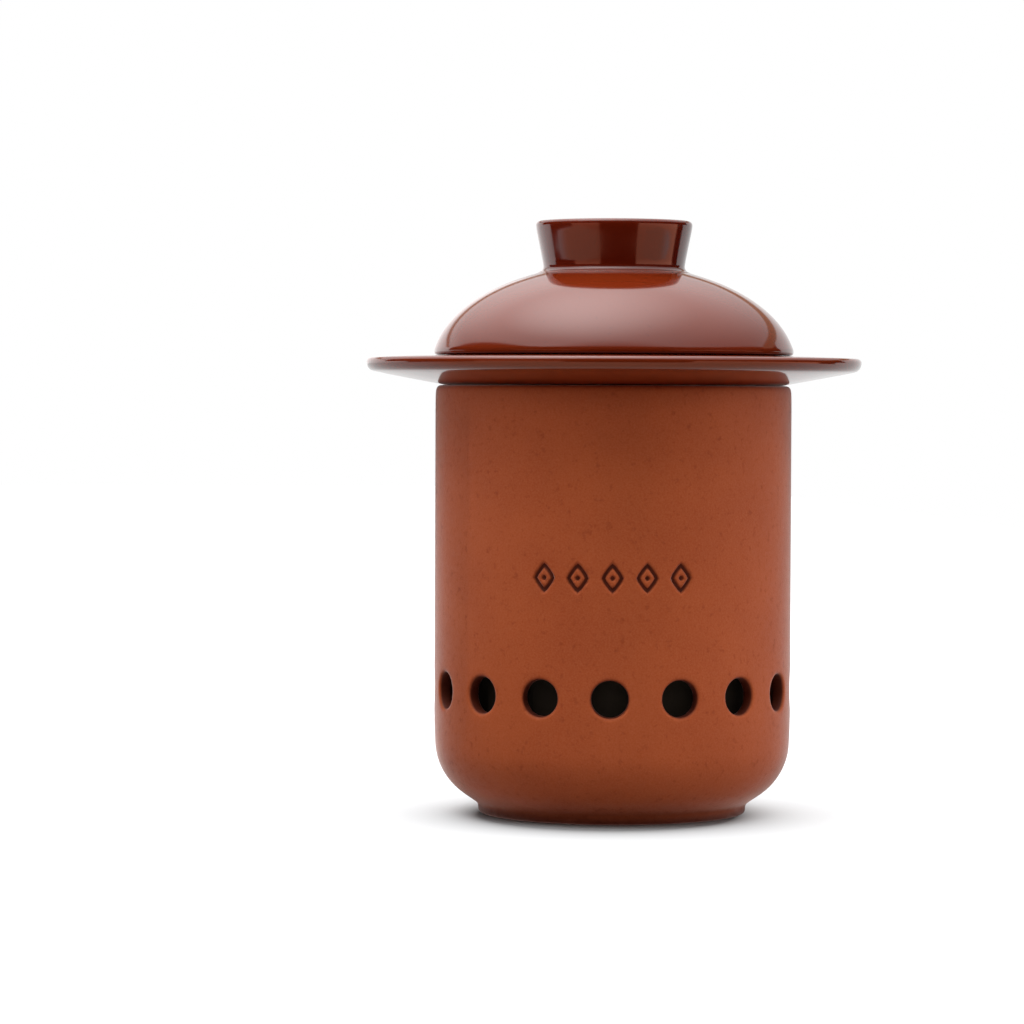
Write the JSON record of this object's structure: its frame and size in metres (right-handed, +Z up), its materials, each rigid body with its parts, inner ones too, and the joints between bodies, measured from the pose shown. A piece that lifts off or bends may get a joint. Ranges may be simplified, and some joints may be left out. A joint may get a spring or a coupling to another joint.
{
  "type": "garlic keeper",
  "caption": "Ventilated terracotta jar with round vents low in its wall, closed by a wide glazed plate on its rim under a domed glazed lid with a hollow flared knob.",
  "frame": {"origin": "on the pot's axis at the underside of the foot ring, on the surface that the jar stands on", "axes": "+Z up along the pot's axis, -Y to the front, where the stamped band is, +X to the right"},
  "size_m": [0.139, 0.139, 0.1661],
  "materials": {
    "terracotta": "matte unglazed fired clay, fine grain",
    "brown_glaze": "glossy red-brown glaze"
  },
  "bodies": {
    "jar": {"jar_body": "terracotta"},
    "plate": {"plate": "brown_glaze", "plate_locating_ring": "brown_glaze", "dome_locating_ring": "brown_glaze"},
    "lid": {"dome_lid": "brown_glaze", "lid_knob": "brown_glaze"}
  },
  "joints": [
    {"name": "plate_lift", "type": "slide", "parent": "jar", "child": "plate", "axis": [0, 0, 1], "range_m": [0, 0.06]},
    {"name": "lid_lift", "type": "slide", "parent": "plate", "child": "lid", "axis": [0, 0, 1], "range_m": [0, 0.05]}
  ]
}
